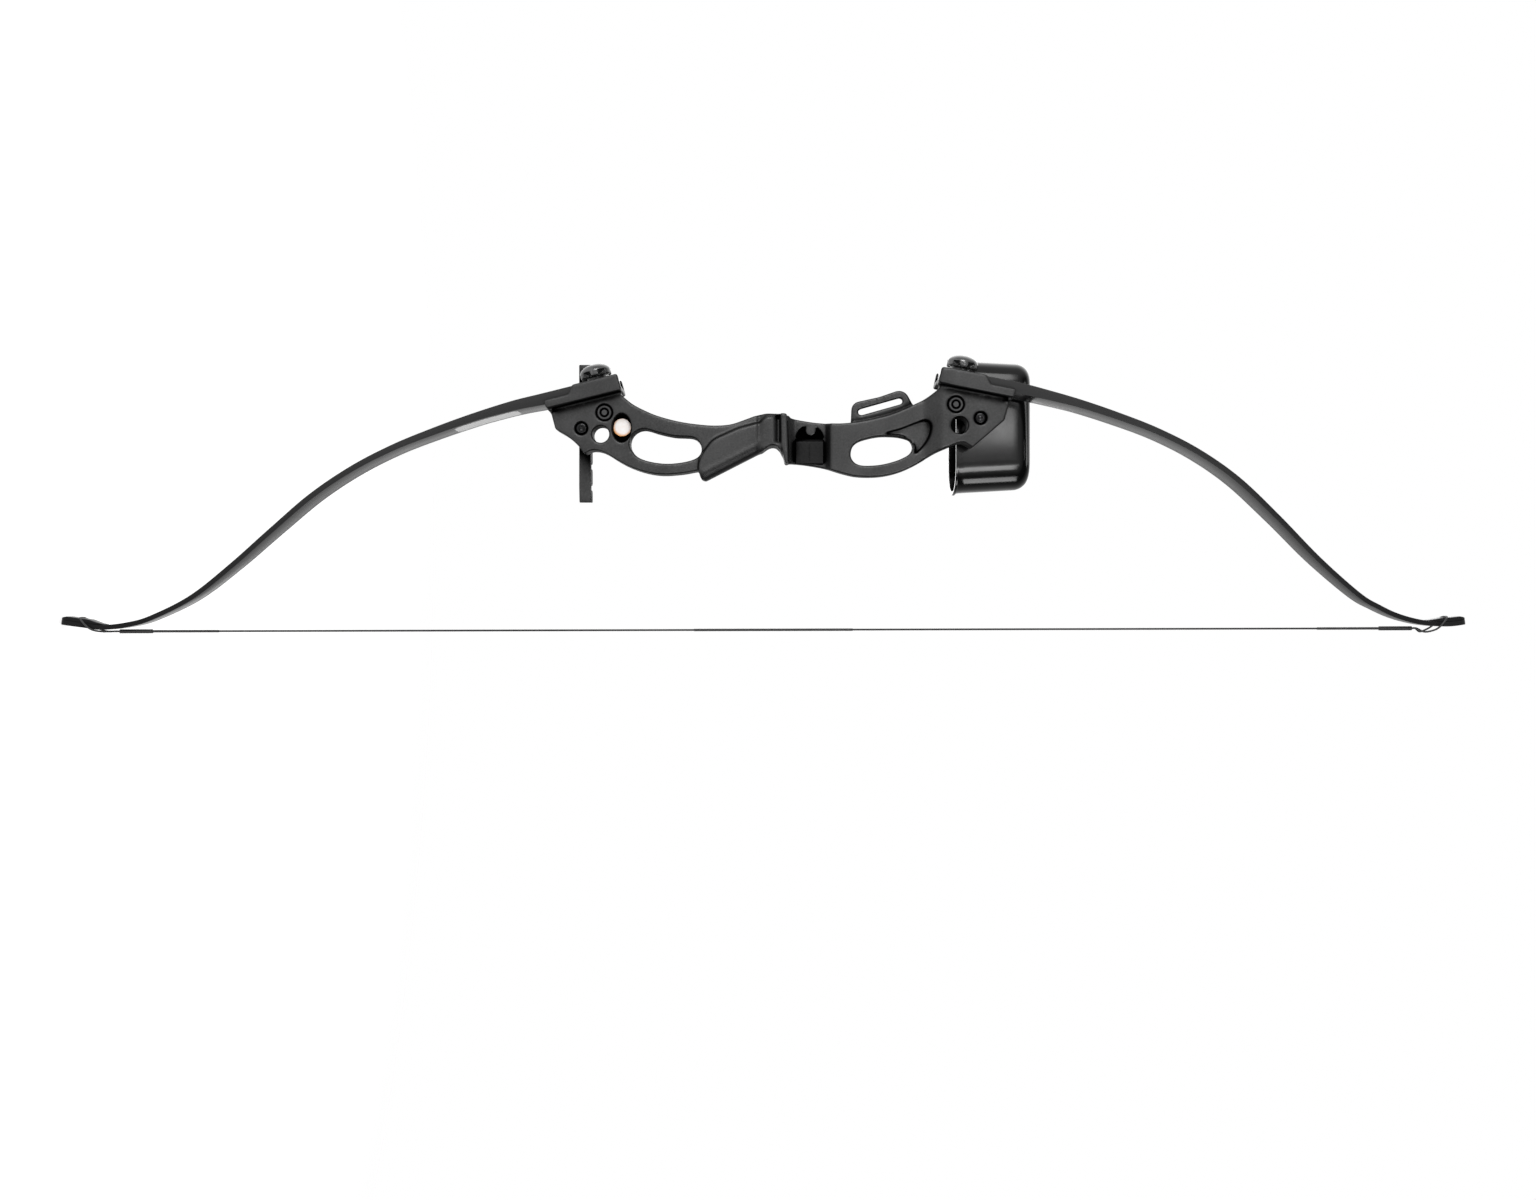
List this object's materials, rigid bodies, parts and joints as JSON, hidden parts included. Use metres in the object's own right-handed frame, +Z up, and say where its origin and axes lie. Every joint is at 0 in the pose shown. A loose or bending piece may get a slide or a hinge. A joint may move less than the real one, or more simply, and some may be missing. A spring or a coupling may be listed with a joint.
{
  "type": "recurve bow",
  "caption": "Take-down recurve bow with moulded riser, bolted limbs, served bowstring and a bow-mounted arrow quiver.",
  "frame": {"origin": "throat of the grip, where the web of the thumb rests, midway across the bow", "axes": "+Z up along the bow, +X towards the target, +Y towards the side with the sight window"},
  "size_m": [0.2596, 0.1133, 1.2927],
  "materials": {
    "riser_plastic": "fine moulded texture, satin black",
    "side_plate_plastic": "smooth, dull black",
    "blank_disc": "blank printed disc, white with a warm rim",
    "limb_laminate": "glossy black laminate",
    "blank_label": "blank white film",
    "black_steel": "black oxide",
    "bright_steel": "zinc plated",
    "knob_plastic": "glossy black",
    "bowstring": "twisted waxed strands, black",
    "serving": "tightly wound thread, black",
    "hood_plastic": "glossy black moulding",
    "foam": "open foam, charcoal",
    "gripper_rubber": "soft black rubber"
  },
  "bodies": {
    "riser": {"riser": "riser_plastic", "arrow_side_plate": "side_plate_plastic", "riser_badge": "blank_disc", "lower_limb_butt": "limb_laminate", "upper_limb_butt": "limb_laminate", "lower_barrel_nut": "black_steel", "upper_barrel_nut": "black_steel", "lower_locating_pin": "bright_steel", "upper_locating_pin": "bright_steel", "quiver_hood": "hood_plastic", "hood_foam": "foam", "hood_bracket": "hood_plastic", "hood_screw": "black_steel", "hood_nut": "black_steel", "gripper_bar": "riser_plastic", "gripper_rubber": "gripper_rubber", "gripper_spacer": "riser_plastic", "gripper_screw": "black_steel", "gripper_nut": "black_steel"},
    "lower_limb": {"lower_limb": "limb_laminate", "lower_tip_overlay": "limb_laminate", "lower_limb_label": "blank_label"},
    "upper_limb": {"upper_limb": "limb_laminate", "upper_tip_overlay": "limb_laminate"},
    "lower_string": {"lower_string": "bowstring", "lower_string_loop": "bowstring", "lower_loop_binding": "serving", "lower_end_serving": "serving", "centre_serving_lower": "serving"},
    "upper_string": {"upper_string": "bowstring", "upper_string_loop": "bowstring", "upper_loop_binding": "serving", "upper_end_serving": "serving", "centre_serving_upper": "serving"},
    "lower_washer": {"lower_washer": "bright_steel"},
    "upper_washer": {"upper_washer": "bright_steel"},
    "lower_knob": {"lower_knob": "knob_plastic", "lower_bolt": "bright_steel"},
    "upper_knob": {"upper_knob": "knob_plastic", "upper_bolt": "bright_steel"}
  },
  "joints": [
    {"name": "upper_limb_flex", "type": "hinge", "parent": "riser", "child": "upper_limb", "pos_m": [0.04773, 0, 0.22567], "axis": [0, -1, 0], "range_deg": [0, 22], "stiffness_Nm_per_rad": 148},
    {"name": "lower_limb_flex", "type": "hinge", "parent": "riser", "child": "lower_limb", "pos_m": [0.03736, 0, -0.20555], "axis": [0, 1, 0], "range_deg": [0, 21], "stiffness_Nm_per_rad": 148},
    {"name": "upper_string_swing", "type": "hinge", "parent": "upper_limb", "child": "upper_string", "pos_m": [-0.16162, 0, 0.61844], "axis": [0, 1, 0], "range_deg": [0, 57], "deforming": ["upper_string", "upper_string_loop", "upper_loop_binding", "upper_end_serving", "centre_serving_upper"]},
    {"name": "lower_string_swing", "type": "hinge", "parent": "lower_limb", "child": "lower_string", "pos_m": [-0.16235, 0, -0.6283], "axis": [0, -1, 0], "range_deg": [0, 57], "deforming": ["lower_string", "lower_string_loop", "lower_loop_binding", "lower_end_serving", "centre_serving_lower"]},
    {"name": "upper_knob_travel", "type": "slide", "parent": "riser", "child": "upper_washer", "axis": [0.9816, 0, 0.1908], "range_m": [0, 0.006]},
    {"name": "upper_knob_turn", "type": "hinge", "parent": "upper_washer", "child": "upper_knob", "pos_m": [0.06796, 0, 0.17663], "axis": [0.9816, 0, 0.1908], "range_deg": [0, 1728]},
    {"name": "lower_knob_travel", "type": "slide", "parent": "riser", "child": "lower_washer", "axis": [0.9703, 0, -0.2419], "range_m": [0, 0.006]},
    {"name": "lower_knob_turn", "type": "hinge", "parent": "lower_washer", "child": "lower_knob", "pos_m": [0.06012, 0, -0.15764], "axis": [0.9703, 0, -0.2419], "range_deg": [0, 1728]}
  ],
  "couplings": [
    {"joint": "lower_limb_flex", "follows": "upper_limb_flex", "ratio": 0.95},
    {"joint": "upper_string_swing", "follows": "upper_limb_flex", "ratio": 2.538},
    {"joint": "lower_string_swing", "follows": "upper_limb_flex", "ratio": 2.4045},
    {"joint": "lower_knob_turn", "follows": "lower_knob_travel", "rad_per_m": 5026.5},
    {"joint": "upper_knob_turn", "follows": "upper_knob_travel", "rad_per_m": 5026.5}
  ]
}
